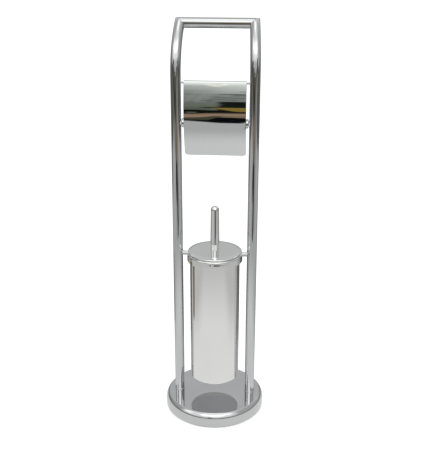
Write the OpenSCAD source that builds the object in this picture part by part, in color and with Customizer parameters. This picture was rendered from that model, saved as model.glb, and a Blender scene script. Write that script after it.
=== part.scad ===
// Free-standing bathroom stand in chromed tube: a weighted round base, two
// uprights that bow back to a carrying bar, a hinged cover over a sprung
// paper roller, and a lidded brush container hung between the uprights.
// Millimetres, +X to the right, +Y to the back, +Z up; the origin is the
// middle of the underside of the base.

/* [Frame] */
// Distance between the axes of the two uprights
tube_spacing = 145; // [140:1:152]
// Outside diameter of the frame tube
tube_d = 19.2; // [18:0.2:20]
// Wall thickness of the frame tube
tube_wall = 1.2; // [1:0.1:1.6]
// Height at which the uprights start to bow back
bow_start = 680; // [678:1:700]
// Radius of the bow, to the middle of the tube
bow_r = 113; // [100:1:130]
// Angle through which the bow turns
bow_angle = 53; // [40:1:60]
// Angle by which each bow turns inwards
toe_in = 4.5; // [0:0.5:8]

/* [Base] */
// Diameter of the base
base_d = 200; // [192:2:230]
// Height of the top of the base above the floor
base_h = 30; // [28:1:34]
// Radius of the curve round the rim of the base
base_edge_r = 17; // [15:0.5:20]
// Height of that curve, from the side wall up to the flat top
base_edge_h = 13.9; // [10:0.1:14]
// Radius where the curve meets the flat top
base_lip_r = 2.5; // [2:0.5:4]
// Sheet thickness of the base cover
base_wall = 1.2; // [1:0.1:1.5]
// Thickness of the foam pad under the base
pad_t = 2; // [1.5:0.5:2.5]

/* [Roll holder] */
// Height of the roller axis
roller_z = 594.6; // [590:0.2:600]
// Diameter of the roller
roller_d = 17; // [16.4:0.2:17.4]
// Height of the hinge axis of the roll cover
hinge_z = 668.8; // [666:0.2:670]
// Diameter of the hinge pins
hinge_pin_d = 3.8; // [3:0.2:4]
// Width of the roll cover
cover_w = 115; // [108:1:117]
// Height of the lower edge of the roll cover
cover_bottom_z = 531; // [528:1:545]
// Bending radius of the roll cover
cover_r = 180; // [150:5:200]
// Lean of the cover sheet where it leaves the hinge curl, in degrees
cover_lean = 17.5; // [17:0.1:18.6]
// Radius of the lower corners of the cover
cover_corner_r = 6.5; // [3:0.5:10]

/* [Brush container] */
// Outside diameter of the container
can_d = 97.6; // [96:0.2:98]
// Height of the underside of the container
can_z = 68.7; // [50:0.1:90]
// Diameter of the holder ring at its widest
ring_d = 108.2; // [106:0.1:109]
// Height of the middle of the holder ring
ring_z = 330.5; // [328:0.5:333]
// Diameter of the pins that carry the holder ring
holder_pin_d = 8.4; // [7:0.2:8.4]
// Height of the top of the lid
lid_z = 343.5; // [343:0.1:344]
// Diameter of the lid
lid_d = 105.7; // [105:0.1:106]
// Height of the handle above the lid
handle_h = 90.2; // [70:0.1:91]
// Diameter of the handle at the lid
handle_d1 = 18; // [17:0.5:20]
// Diameter of the handle near its top
handle_d2 = 16; // [14:0.5:17]
// Diameter of the bristle head
bristle_d = 76; // [60:1:80]

/* [Hidden] */
$fn = 96;

eps = 0.02;
bend_draw = 0.05;                          // how much the wall thins on each side where it is bent
tube_x = tube_spacing / 2;
tube_r = tube_d / 2;
tube_ri = tube_r - tube_wall;
inner_face = tube_x - tube_r;              // inner face of an upright, from the middle
base_r = base_d / 2;

// the bow: where the axis of the left upright ends, and which way it points there
bow_run = bow_r * (1 - cos(bow_angle));
corner = [-tube_x + bow_run * sin(toe_in), bow_run * cos(toe_in),
          bow_start + bow_r * sin(bow_angle)];
tip_dir = [sin(bow_angle) * sin(toe_in), sin(bow_angle) * cos(toe_in), cos(bow_angle)];
mitre = [tip_dir[0] + 1, tip_dir[1], tip_dir[2]];
mitre_len = norm(mitre);
mitre_az = atan2(mitre[1], mitre[0]);
mitre_tilt = acos(mitre[2] / mitre_len);

// the roll cover: curl on the hinge axis, then one arc down in front of the roller
cover_t = 1;
curl_r = 3.4;
curl_ri = curl_r - cover_t / 2;
cover_cy = (cover_r - curl_r) * cos(cover_lean);
cover_cz = hinge_z - (cover_r - curl_r) * sin(cover_lean);

// the roller
roller_end = inner_face - 1.4;
nub_d = 8;
nub_l = 6;
bush_d = 10;

// the container
can_r = can_d / 2;
can_wall = 0.7;
ring_ri = can_r + 0.35;
ring_bead_r = 20;
ring_bead_drop = 3;                         // the ring is widest this far below its middle
ring_bead_c = ring_d / 2 - ring_bead_r;
ring_half_h = 7.7;
flange_z = ring_z + ring_half_h;
flange_t = 1;
holder_pin_z = flange_z - 3.2;
holder_pin_in = 51;                        // where a holder pin ends, from the middle
lid_under = flange_z + flange_t + 0.3;
lid_r = lid_d / 2;
stem_d = 8;

module along_x(x0, x1, r, y = 0, z = 0) {
    translate([x0, y, z]) rotate([0, 90, 0]) cylinder(r = r, h = x1 - x0);
}

// ---- base ---------------------------------------------------------------

// a disc from z0 up to z1 whose rim is curved: the curve (radius edge) starts at the side wall,
// climbs by crest, and runs over a small lip into the flat top
module soft_disc(r, z0, z1, edge, crest, lip) {
    run = sqrt(pow(edge - lip, 2) - pow(crest - lip, 2));
    lip_x = r - edge + run;
    rotate_extrude() {
        translate([0, z0]) square([lip_x, z1 - z0]);
        translate([0, z0]) square([r, z1 - crest - z0]);
        intersection() {
            translate([r - edge, z1 - crest]) circle(r = edge);
            translate([0, z0]) square([r, z1 - lip + lip * sin(atan2(crest - lip, run)) - z0]);
        }
        intersection() {
            translate([lip_x, z1 - lip]) circle(r = lip);
            translate([0, z1 - 2 * lip]) square([r, 2 * lip]);
        }
    }
}

module base_pad() {
    color("dimgray") cylinder(r = base_r - 3, h = pad_t);
}

module base_weight() {
    color("darkgray") difference() {
        soft_disc(base_r - base_wall - 0.3, pad_t, base_h - base_wall,
                  base_edge_r - base_wall, base_edge_h - base_wall, base_lip_r - base_wall);
        for (s = [-1, 1]) translate([s * tube_x, 0, 0]) {
            cylinder(d = 9, h = base_h + 1);
            cylinder(d = 24, h = 10.3);
        }
    }
}

module base_cover() {
    color("gainsboro") difference() {
        soft_disc(base_r, pad_t + 0.4, base_h, base_edge_r, base_edge_h, base_lip_r);
        soft_disc(base_r - base_wall, -1, base_h - base_wall,
                  base_edge_r - base_wall, base_edge_h - base_wall, base_lip_r - base_wall);
        for (s = [-1, 1]) translate([s * tube_x, 0, 0]) cylinder(d = 9, h = base_h + 1);
    }
}

module tube_screws() {
    color("silver") for (s = [-1, 1]) translate([s * tube_x, 0, 0]) {
        translate([0, 0, 3.4]) cylinder(d = 14.4, h = 5.3, $fn = 6);
        translate([0, 0, 8.7]) cylinder(d = 8, h = 36);
    }
}

module screw_washers() {
    color("silver") for (s = [-1, 1]) translate([s * tube_x, 0, 8.7]) difference() {
        cylinder(d = 20, h = 1.6);
        translate([0, 0, -1]) cylinder(d = 8.6, h = 4);
    }
}

module tube_plug(s) {
    color("silver") translate([s * tube_x, 0, base_h]) difference() {
        cylinder(r = tube_ri - 0.05, h = 20);
        translate([0, 0, -1]) cylinder(d = 8.1, h = 30);
    }
}

module foot_collar(s) {
    color("gainsboro") translate([s * tube_x, 0, base_h]) difference() {
        rotate_extrude() intersection() {
            translate([tube_r + 0.1, 0.6]) circle(r = 1.1);
            translate([tube_r, 0]) square([4, 4]);
        }
        translate([0, 0, -1]) cylinder(r = tube_r + 0.04, h = 6);
    }
}

// ---- frame --------------------------------------------------------------

// a straight length h of tube standing on z = 0
module pipe(h) {
    difference() {
        cylinder(r = tube_r, h = h);
        translate([0, 0, -1]) cylinder(r = tube_ri, h = h + 2);
    }
}

// the run of the left upright: straight, bow and a stub past the corner
module left_run() {
    translate([-tube_x, 0, base_h]) pipe(bow_start - base_h);
    translate([-tube_x, 0, bow_start]) rotate([0, 0, -toe_in]) {
        translate([0, bow_r, 0]) rotate([90, 0, -90])
            rotate_extrude(angle = bow_angle) translate([bow_r, 0]) difference() {
                circle(r = tube_r - bend_draw);
                circle(r = tube_ri + bend_draw);
            }
        translate([0, bow_run, bow_r * sin(bow_angle)]) rotate([-bow_angle, 0, 0])
            pipe(1.6 * tube_d);
    }
}

// everything beyond the left mitre
module past_mitre() {
    translate(corner) rotate([0, mitre_tilt, mitre_az])
        translate([-60, -60, 0]) cube([120, 120, 80]);
}

module upright() {
    difference() {
        left_run();
        past_mitre();
        along_x(-tube_x, 0, hinge_pin_d / 2 + eps, 0, hinge_z);
        along_x(-tube_x, 0, bush_d / 2 + eps, 0, roller_z);
        along_x(-tube_x, 0, holder_pin_d / 2 + eps, 0, holder_pin_z);
    }
}

module left_tube() { color("gainsboro") upright(); }
module right_tube() { color("gainsboro") mirror([1, 0, 0]) upright(); }

module top_bar() {
    color("gainsboro") intersection() {
        difference() {
            along_x(-tube_x - tube_d, tube_x + tube_d, tube_r, corner[1], corner[2]);
            along_x(-tube_x - 2 * tube_d, tube_x + 2 * tube_d, tube_ri, corner[1], corner[2]);
        }
        bar_half();
        mirror([1, 0, 0]) bar_half();
    }
}

// the space on the bar's side of the left mitre
module bar_half() {
    translate(corner) rotate([0, mitre_tilt, mitre_az])
        translate([-300, -300, 0]) cube([600, 600, 600]);
}

// ---- what the uprights carry ----------------------------------------------

module hinge_pin() {
    color("gainsboro") along_x(-inner_face - tube_wall - 0.8, -cover_w / 2 + 8,
                               hinge_pin_d / 2, 0, hinge_z);
}
module left_hinge_pin() { hinge_pin(); }
module right_hinge_pin() { mirror([1, 0, 0]) hinge_pin(); }

module roller_bush() {
    color("whitesmoke") difference() {
        along_x(-inner_face - 7, -inner_face + 0.8, bush_d / 2, 0, roller_z);
        along_x(-inner_face - 9, -inner_face + 2, nub_d / 2 + 0.08, 0, roller_z);
    }
}
module left_roller_bush() { roller_bush(); }
module right_roller_bush() { mirror([1, 0, 0]) roller_bush(); }

module holder_pin() {
    color("gainsboro") along_x(-inner_face - tube_wall - 0.8, -holder_pin_in,
                               holder_pin_d / 2, 0, holder_pin_z);
}
module left_holder_pin() { holder_pin(); }
module right_holder_pin() { mirror([1, 0, 0]) holder_pin(); }

module holder_ring() {
    color("gainsboro") difference() {
        intersection() {
            translate([0, 0, ring_z - ring_bead_drop]) rotate_extrude()
                translate([ring_bead_c, 0]) circle(r = ring_bead_r);
            translate([0, 0, ring_z - ring_half_h]) difference() {
                cylinder(r = ring_d / 2 + 2, h = 2 * ring_half_h);
                translate([0, 0, -1]) cylinder(r = ring_ri, h = 2 * ring_half_h + 2);
            }
        }
        along_x(-ring_d, -holder_pin_in + eps, holder_pin_d / 2 + eps, 0, holder_pin_z);
        along_x(holder_pin_in - eps, ring_d, holder_pin_d / 2 + eps, 0, holder_pin_z);
    }
}

// drawn cup with a rolled-out rim that hangs on the holder ring
module container() {
    e = 2;
    color("gainsboro") rotate_extrude() difference() {
        union() {
            translate([0, can_z]) square([can_r - e, 2 * e]);
            translate([can_r - e, can_z + e]) circle(r = e);
            translate([0, can_z + e]) square([can_r, flange_z + flange_t - can_z - e]);
            translate([0, flange_z]) square([can_r + 1.6, flange_t]);
        }
        translate([0, can_z + can_wall]) square([can_r - e, 2 * e]);
        intersection() {
            translate([can_r - e, can_z + e]) circle(r = e - can_wall);
            translate([0, can_z]) square([can_r, 2 * e]);
        }
        translate([0, can_z + e]) square([can_r - can_wall, flange_z]);
        translate([-20, can_z - 1]) square([20, 400]);
    }
}

module drip_cup() {
    r = can_r - can_wall - 1.5;
    color("whitesmoke") translate([0, 0, can_z + can_wall + 0.1]) difference() {
        cylinder(r1 = r - 2.5, r2 = r, h = 52);
        translate([0, 0, 1.6]) cylinder(r1 = r - 4.1, r2 = r - 1.5, h = 52);
    }
}

// ---- roll cover -----------------------------------------------------------

// outline of the cover seen from the front, with its lower corners rounded
module cover_outline() {
    w = cover_w / 2;
    c = cover_corner_r;
    top = hinge_z + curl_r * sin(cover_lean);
    translate([-w, cover_bottom_z + c]) square([cover_w, top - cover_bottom_z - c]);
    translate([-w + c, cover_bottom_z]) square([cover_w - 2 * c, c]);
    for (s = [-1, 1]) translate([s * (w - c), cover_bottom_z + c]) circle(r = c);
}

module roll_cover() {
    color("gainsboro") difference() {
        union() {
            // sheet: a strip of a cylinder, facing the front
            intersection() {
                difference() {
                    along_x(-cover_w, cover_w, cover_r + cover_t / 2, cover_cy, cover_cz);
                    along_x(-cover_w - 1, cover_w + 1, cover_r - cover_t / 2, cover_cy, cover_cz);
                }
                translate([0, 80, 0]) rotate([90, 0, 0]) linear_extrude(160) cover_outline();
            }
            // curl round the hinge pins
            along_x(-cover_w / 2, cover_w / 2, curl_r + cover_t / 2, 0, hinge_z);
        }
        along_x(-cover_w, cover_w, curl_ri, 0, hinge_z);
    }
}

module cover_bush() {
    color("whitesmoke") difference() {
        along_x(-cover_w / 2, -cover_w / 2 + 9, curl_ri - 0.02, 0, hinge_z);
        along_x(-cover_w, 0, hinge_pin_d / 2 + 0.06, 0, hinge_z);
    }
}
module left_cover_bush() { cover_bush(); }
module right_cover_bush() { mirror([1, 0, 0]) cover_bush(); }

// ---- roller ---------------------------------------------------------------

outer_x1 = 8;         // open end of the outer half
head_x0 = 24;         // shoulder of the inner half
inner_x0 = -25;       // end of the inner half, inside the outer half

module roller_outer() {
    color("gainsboro") difference() {
        union() {
            along_x(-roller_end, outer_x1, roller_d / 2, 0, roller_z);
            along_x(-roller_end - nub_l, -roller_end + 1, nub_d / 2, 0, roller_z);
        }
        along_x(-roller_end + 1.5, outer_x1 + 1, roller_d / 2 - 1, 0, roller_z);
    }
}

module roller_inner() {
    color("gainsboro") difference() {
        union() {
            along_x(inner_x0, head_x0 + 1, roller_d / 2 - 1.1, 0, roller_z);
            along_x(head_x0, roller_end, roller_d / 2, 0, roller_z);
            along_x(roller_end - 1, roller_end + nub_l, nub_d / 2, 0, roller_z);
        }
        along_x(inner_x0 + 1.5, roller_end - 1.5, roller_d / 2 - 2.2, 0, roller_z);
    }
}

// coil of round wire: the section is the wire cut square to the coil's axis
module roller_spring() {
    l = inner_x0 + roller_end - 1.5 - 1.4;
    turns = 8;
    wire = 0.6;
    coil = 5.4;
    half = 360 * wire * turns / l;
    n = 3;
    section = concat(
        [for (i = [-n : n]) spring_point(coil + wire * cos(90 * i / n), half * sin(90 * i / n))],
        [for (i = [n - 1 : -1 : 1 - n]) spring_point(coil - wire * cos(90 * i / n), half * sin(90 * i / n))]);
    color("silver") translate([-roller_end + 1.5 + 0.7, 0, roller_z]) rotate([0, 90, 0])
        linear_extrude(l, twist = -360 * turns, slices = turns * 16, $fn = 10) polygon(section);
}
function spring_point(r, a) = [r * cos(a), r * sin(a)];

// ---- brush ----------------------------------------------------------------

module lid() {
    shoulder = 28;
    flat = 42;
    color("gainsboro") rotate_extrude() difference() {
        union() {
            translate([0, lid_under]) square([flat, lid_z - lid_under]);
            intersection() {
                translate([flat, lid_z - shoulder]) circle(r = shoulder);
                translate([flat - 1, lid_under]) square([lid_r - 1 - flat + 1, 10]);
            }
            translate([lid_r - 1, lid_under + 1]) circle(r = 1);
        }
        translate([-1, lid_under - 1]) square([1 + stem_d / 2 + 0.1, 20]);
    }
}

module lid_plug() {
    color("whitesmoke") translate([0, 0, lid_under - 6]) difference() {
        cylinder(r = can_r - can_wall - 1.6, h = 6);
        translate([0, 0, -1]) cylinder(d = stem_d + 0.2, h = 8);
        translate([0, 0, -1]) difference() {
            cylinder(r = can_r - can_wall - 3.4, h = 4.5);
            cylinder(r = 12, h = 4.5);
        }
    }
}

module handle() {
    w = 1;
    top_r = handle_d2 / 2;
    l = handle_h - top_r;
    color("gainsboro") translate([0, 0, lid_z]) difference() {
        union() {
            cylinder(r1 = handle_d1 / 2, r2 = top_r, h = l);
            translate([0, 0, l]) sphere(r = top_r);
        }
        translate([0, 0, -0.01]) cylinder(r1 = handle_d1 / 2 - w, r2 = top_r - w, h = l + 0.01);
        translate([0, 0, l]) sphere(r = top_r - w);
    }
}

module handle_insert() {
    color("silver") translate([0, 0, lid_z]) difference() {
        cylinder(r = handle_d1 / 2 - 1.25, h = 14);
        translate([0, 0, -1]) cylinder(d = stem_d + 0.1, h = 13);
    }
}

module brush_stem() {
    color("silver") translate([0, 0, 150]) cylinder(d = stem_d, h = lid_z + 11 - 150);
}

module lid_nut() {
    color("silver") translate([0, 0, lid_under - 6 - 6.5]) difference() {
        cylinder(d = 14.4, h = 6.5, $fn = 6);
        translate([0, 0, -1]) cylinder(d = stem_d + 0.1, h = 9);
    }
}

module brush_core() {
    color("whitesmoke") difference() {
        union() {
            translate([0, 0, 96]) cylinder(d = 16, h = 84);
            translate([0, 0, 180]) cylinder(d1 = 16, d2 = 11, h = 10);
            translate([0, 0, 96]) sphere(d = 16);
        }
        translate([0, 0, 149.5]) cylinder(d = stem_d + 0.1, h = 60);
    }
}

// the room the bristles fill: a rounded drum round the core
module bristles() {
    r = bristle_d / 2;
    e = 14;
    color("white") difference() {
        rotate_extrude() difference() {
            union() {
                translate([0, 86]) square([r - e, 84]);
                translate([0, 86 + e]) square([r, 84 - 2 * e]);
                for (z = [86 + e, 170 - e]) intersection() {
                    translate([r - e, z]) circle(r = e);
                    translate([0, 80]) square([r, 100]);
                }
            }
            translate([-50, 0]) square([50, 300]);
        }
        translate([0, 0, 60]) cylinder(d = 16.1, h = 130);
    }
}

base_pad();
base_weight();
base_cover();
tube_screws();
screw_washers();
tube_plug(-1);  // left_tube_plug
tube_plug(1);  // right_tube_plug
foot_collar(-1);  // left_foot_collar
foot_collar(1);  // right_foot_collar
left_tube();
right_tube();
top_bar();
left_hinge_pin();
right_hinge_pin();
left_roller_bush();
right_roller_bush();
left_holder_pin();
right_holder_pin();
holder_ring();
container();
drip_cup();
roll_cover();
left_cover_bush();
right_cover_bush();
roller_outer();
roller_spring();
roller_inner();
lid();
lid_plug();
handle();
handle_insert();
brush_stem();
lid_nut();
brush_core();
bristles();
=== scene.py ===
import math

import bmesh
import bpy
import numpy as np
from mathutils import Matrix, Vector


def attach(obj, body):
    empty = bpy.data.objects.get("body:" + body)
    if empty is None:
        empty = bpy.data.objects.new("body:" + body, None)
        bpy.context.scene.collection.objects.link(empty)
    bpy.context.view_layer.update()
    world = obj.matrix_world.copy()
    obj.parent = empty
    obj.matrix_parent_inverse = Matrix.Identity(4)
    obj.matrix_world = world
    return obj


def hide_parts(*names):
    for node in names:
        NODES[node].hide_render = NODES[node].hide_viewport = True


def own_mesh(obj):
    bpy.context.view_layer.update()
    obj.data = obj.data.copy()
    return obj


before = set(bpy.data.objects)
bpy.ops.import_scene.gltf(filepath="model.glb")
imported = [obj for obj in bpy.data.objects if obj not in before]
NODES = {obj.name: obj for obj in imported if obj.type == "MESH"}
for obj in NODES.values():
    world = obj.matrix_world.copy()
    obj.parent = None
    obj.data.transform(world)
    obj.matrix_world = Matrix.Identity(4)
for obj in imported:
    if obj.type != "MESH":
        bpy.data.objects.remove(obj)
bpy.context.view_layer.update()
MM = 0.001
TAU = 2 * math.pi


# ---------------------------------------------------------------- meshes

def place(name, verts, faces, normals, material, body, stands_for=()):
    """A mesh in millimetres with a normal for each face corner, riding on a body."""
    mesh = bpy.data.meshes.new(name)
    mesh.from_pydata([(x * MM, y * MM, z * MM) for x, y, z in verts], [], faces)
    mesh.validate()
    mesh.shade_smooth()
    if normals is not None:
        mesh.normals_split_custom_set([tuple(n) for n in normals])
    obj = bpy.data.objects.new(name, mesh)
    bpy.context.scene.collection.objects.link(obj)
    if material is not None:
        mesh.materials.append(material)
    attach(obj, body)
    if stands_for:
        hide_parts(*stands_for)
    return obj


class Profile:
    """A closed outline in (r, z), drawn with the solid on its left, as smooth runs with normals."""

    def __init__(self, r, z):
        self.at = (r, z)
        self.runs = []

    def line(self, r, z, n=1):
        (r0, z0), (r1, z1) = self.at, (r, z)
        length = math.hypot(r1 - r0, z1 - z0)
        if length > 1e-6:
            nr, nz = (z1 - z0) / length, -(r1 - r0) / length
            self.runs.append([(r0 + (r1 - r0) * i / n, z0 + (z1 - z0) * i / n, nr, nz)
                              for i in range(n + 1)])
        self.at = (r, z)
        return self

    def arc(self, cr, cz, rad, a0, a1, n=8):
        side = 1 if a1 > a0 else -1
        pts = []
        for i in range(n + 1):
            a = math.radians(a0 + (a1 - a0) * i / n)
            pts.append((cr + rad * math.cos(a), cz + rad * math.sin(a),
                        side * math.cos(a), side * math.sin(a)))
        self.line(pts[0][0], pts[0][1])
        self.runs.append(pts)
        self.at = pts[-1][:2]
        return self


def rounded(points, n=6):
    """An outline from corners (r, z, fillet), going round with the solid on the left."""
    count = len(points)
    legs = []
    for i, (r, z, f) in enumerate(points):
        p = np.array((r, z), float)
        a = np.array(points[i - 1][:2], float) - p
        b = np.array(points[(i + 1) % count][:2], float) - p
        a /= np.linalg.norm(a)
        b /= np.linalg.norm(b)
        if f <= 0:
            legs.append((p, p, None))
            continue
        half = math.acos(max(-1, min(1, float(a @ b)))) / 2
        back = f / math.tan(half)
        bis = (a + b) / np.linalg.norm(a + b)
        centre = p + bis * f / math.sin(half)
        turn = (-a)[0] * b[1] - (-a)[1] * b[0]
        legs.append((p + a * back, p + b * back, (centre, f, 1 if turn > 0 else -1)))
    prof = Profile(*legs[0][1])
    for i in range(1, count + 1):
        start, end, arc = legs[i % count]
        prof.line(*start)
        if arc:
            centre, f, side = arc
            a0 = math.degrees(math.atan2(*(start - centre)[::-1]))
            a1 = math.degrees(math.atan2(*(end - centre)[::-1]))
            if side > 0 and a1 < a0:
                a1 += 360
            if side < 0 and a1 > a0:
                a1 -= 360
            prof.arc(centre[0], centre[1], f, a0, a1, n)
        prof.at = tuple(end)
    return prof


def frame_of(axis):
    """Columns that take the lathe's own x, y, z to the row's."""
    z = Vector(axis).normalized()
    x = Vector((0, 0, 1)).cross(z) if abs(z.z) < 0.9 else Vector((1, 0, 0))
    x.normalize()
    y = z.cross(x)
    return x, y, z


def lathe(prof, segs=192, origin=(0, 0, 0), axis=(0, 0, 1)):
    """Verts, faces and corner normals of the outline turned about an axis."""
    x, y, z = frame_of(axis)
    o = Vector(origin)
    rings, faces, normals, verts = {}, [], [], []
    cs = [(math.cos(TAU * k / segs), math.sin(TAU * k / segs)) for k in range(segs)]

    def ring(r, zz):
        key = (round(r, 4), round(zz, 4))
        if key not in rings:
            if r < 1e-4:
                rings[key] = [len(verts)] * segs
                verts.append(o + z * zz)
            else:
                rings[key] = list(range(len(verts), len(verts) + segs))
                verts.extend(o + x * (r * c) + y * (r * s) + z * zz for c, s in cs)
        return rings[key]

    def turned(nr, nz):
        return [x * (nr * c) + y * (nr * s) + z * nz for c, s in cs]

    for run in prof.runs:
        for (r0, z0, a0, b0), (r1, z1, a1, b1) in zip(run, run[1:]):
            if r0 < 1e-4 and r1 < 1e-4:
                continue
            lo, hi = ring(r0, z0), ring(r1, z1)
            n0, n1 = turned(a0, b0), turned(a1, b1)
            for k in range(segs):
                m = (k + 1) % segs
                corners = [(lo[k], n0[k]), (lo[m], n0[m]), (hi[m], n1[m]), (hi[k], n1[k])]
                kept = []
                for c in corners:
                    if not kept or c[0] != kept[-1][0]:
                        kept.append(c)
                if kept[0][0] == kept[-1][0]:
                    kept.pop()
                if len(kept) < 3:
                    continue
                faces.append([c[0] for c in kept])
                normals.extend(c[1] for c in kept)
    return verts, faces, normals


def turned_piece(name, prof, material, body, stands_for=(), segs=192,
                 origin=(0, 0, 0), axis=(0, 0, 1)):
    v, f, n = lathe(prof, segs, origin, axis)
    return place(name, v, f, n, material, body, stands_for)


# ---------------------------------------------------------------- materials

def new_material(name):
    m = bpy.data.materials.new(name)
    m.use_nodes = True
    t = m.node_tree
    t.nodes.clear()
    out = t.nodes.new("ShaderNodeOutputMaterial")
    bsdf = t.nodes.new("ShaderNodeBsdfPrincipled")
    t.links.new(bsdf.outputs[0], out.inputs[0])
    return m, t, bsdf


def noise(t, scale, detail=3.0, rough=0.5, stretch=None, offset=(0, 0, 0)):
    coord = t.nodes.new("ShaderNodeTexCoord")
    mapping = t.nodes.new("ShaderNodeMapping")
    mapping.inputs["Location"].default_value = offset
    if stretch:
        mapping.inputs["Scale"].default_value = stretch
    tex = t.nodes.new("ShaderNodeTexNoise")
    tex.inputs["Scale"].default_value = scale
    tex.inputs["Detail"].default_value = detail
    tex.inputs["Roughness"].default_value = rough
    t.links.new(coord.outputs["Object"], mapping.inputs["Vector"])
    t.links.new(mapping.outputs[0], tex.inputs["Vector"])
    return tex


def spread(t, source, low, high, lo_in=0.3, hi_in=0.7):
    r = t.nodes.new("ShaderNodeMapRange")
    r.inputs["From Min"].default_value = lo_in
    r.inputs["From Max"].default_value = hi_in
    r.inputs["To Min"].default_value = low
    r.inputs["To Max"].default_value = high
    t.links.new(source, r.inputs["Value"])
    return r.outputs[0]


def two_tone(t, source, a, b, lo_in=0.3, hi_in=0.7):
    ramp = t.nodes.new("ShaderNodeValToRGB")
    ramp.color_ramp.elements[0].position = lo_in
    ramp.color_ramp.elements[0].color = (*a, 1)
    ramp.color_ramp.elements[1].position = hi_in
    ramp.color_ramp.elements[1].color = (*b, 1)
    t.links.new(source, ramp.inputs[0])
    return ramp.outputs[0]


def bump(t, bsdf, height, strength, distance):
    b = t.nodes.new("ShaderNodeBump")
    b.inputs["Strength"].default_value = strength
    b.inputs["Distance"].default_value = distance
    t.links.new(height, b.inputs["Height"])
    t.links.new(b.outputs[0], bsdf.inputs["Normal"])
    return b


def chrome(name, light=(0.68, 0.69, 0.695), dark=(0.63, 0.64, 0.645), rough=(0.012, 0.05),
           wave=0.0, wave_scale=9.0, along=None):
    """Bright chrome plate: wiped smears in the gloss, fine polishing marks, and a slow
    wave in thin sheet."""
    m, t, bsdf = new_material(name)
    bsdf.inputs["Metallic"].default_value = 1.0
    bsdf.inputs["Specular Tint"].default_value = (1, 1, 1, 1)
    smear = noise(t, 14, 4, 0.6, along or (1, 1, 0.35))
    t.links.new(two_tone(t, smear.outputs["Fac"], dark, light), bsdf.inputs["Base Color"])
    gloss = noise(t, 32, 5, 0.62, along or (1, 1, 0.3), (3, 1, 2))
    t.links.new(spread(t, gloss.outputs["Fac"], *rough), bsdf.inputs["Roughness"])
    marks = noise(t, 900, 2, 0.5, (1, 1, 0.12), (7, 2, 5))
    b = bump(t, bsdf, marks.outputs["Fac"], 0.35, 0.000004)
    if wave:
        slow = noise(t, wave_scale, 1.5, 0.4, along or (1, 1, 1), (2, 9, 4))
        w = t.nodes.new("ShaderNodeBump")
        w.inputs["Strength"].default_value = 1.0
        w.inputs["Distance"].default_value = wave
        t.links.new(slow.outputs["Fac"], w.inputs["Height"])
        t.links.new(w.outputs[0], b.inputs["Normal"])
    return m


def steel(name, colour=(0.56, 0.57, 0.58), rough=(0.28, 0.45)):
    m, t, bsdf = new_material(name)
    bsdf.inputs["Metallic"].default_value = 1.0
    patch = noise(t, 160, 4, 0.6)
    t.links.new(two_tone(t, patch.outputs["Fac"], tuple(c * 0.82 for c in colour), colour),
                bsdf.inputs["Base Color"])
    t.links.new(spread(t, patch.outputs["Fac"], *rough), bsdf.inputs["Roughness"])
    grain = noise(t, 1500, 3, 0.6)
    bump(t, bsdf, grain.outputs["Fac"], 0.5, 0.00003)
    return m


def plastic(name, colour, shade, rough=(0.32, 0.45)):
    m, t, bsdf = new_material(name)
    bsdf.inputs["Specular IOR Level"].default_value = 0.45
    tone = noise(t, 25, 3, 0.5)
    t.links.new(two_tone(t, tone.outputs["Fac"], shade, colour), bsdf.inputs["Base Color"])
    grain = noise(t, 700, 3, 0.55)
    t.links.new(spread(t, grain.outputs["Fac"], *rough), bsdf.inputs["Roughness"])
    bump(t, bsdf, grain.outputs["Fac"], 0.35, 0.00004)
    return m


def cement(name):
    m, t, bsdf = new_material(name)
    tone = noise(t, 60, 6, 0.65)
    t.links.new(two_tone(t, tone.outputs["Fac"], (0.30, 0.29, 0.27), (0.46, 0.45, 0.42)),
                bsdf.inputs["Base Color"])
    bsdf.inputs["Roughness"].default_value = 0.9
    bump(t, bsdf, tone.outputs["Fac"], 0.6, 0.0006)
    return m


def foam(name):
    m, t, bsdf = new_material(name)
    cells = t.nodes.new("ShaderNodeTexVoronoi")
    cells.inputs["Scale"].default_value = 900
    coord = t.nodes.new("ShaderNodeTexCoord")
    t.links.new(coord.outputs["Object"], cells.inputs["Vector"])
    t.links.new(two_tone(t, cells.outputs["Distance"], (0.012, 0.012, 0.013), (0.035, 0.035, 0.037), 0, 0.6),
                bsdf.inputs["Base Color"])
    bsdf.inputs["Roughness"].default_value = 0.95
    bump(t, bsdf, cells.outputs["Distance"], 0.7, 0.0003)
    return m


TUBE = chrome("chrome_tube")
SHEET = chrome("chrome_sheet", (0.70, 0.72, 0.715), (0.66, 0.68, 0.672), wave=0.00012, wave_scale=11)
CUP = chrome("chrome_drawn", (0.88, 0.88, 0.872), (0.84, 0.84, 0.83), wave=0.00002, wave_scale=8)
LID = chrome("chrome_spun", (0.87, 0.875, 0.87), (0.83, 0.835, 0.83), rough=(0.015, 0.05))
CAST = chrome("chrome_heavy", rough=(0.02, 0.06))
SMALL = chrome("chrome_small", rough=(0.01, 0.03))
ZINC = steel("zinc_plate")
WIRE = steel("spring_wire", (0.34, 0.35, 0.36), (0.25, 0.4))
WHITE = plastic("white_plastic", (0.86, 0.86, 0.84), (0.78, 0.78, 0.76))
FILAMENT = plastic("bristle_filament", (0.90, 0.90, 0.89), (0.80, 0.81, 0.80), (0.4, 0.55))
CEMENT = cement("cast_cement")
FOAM = foam("foam_pad")

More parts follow.
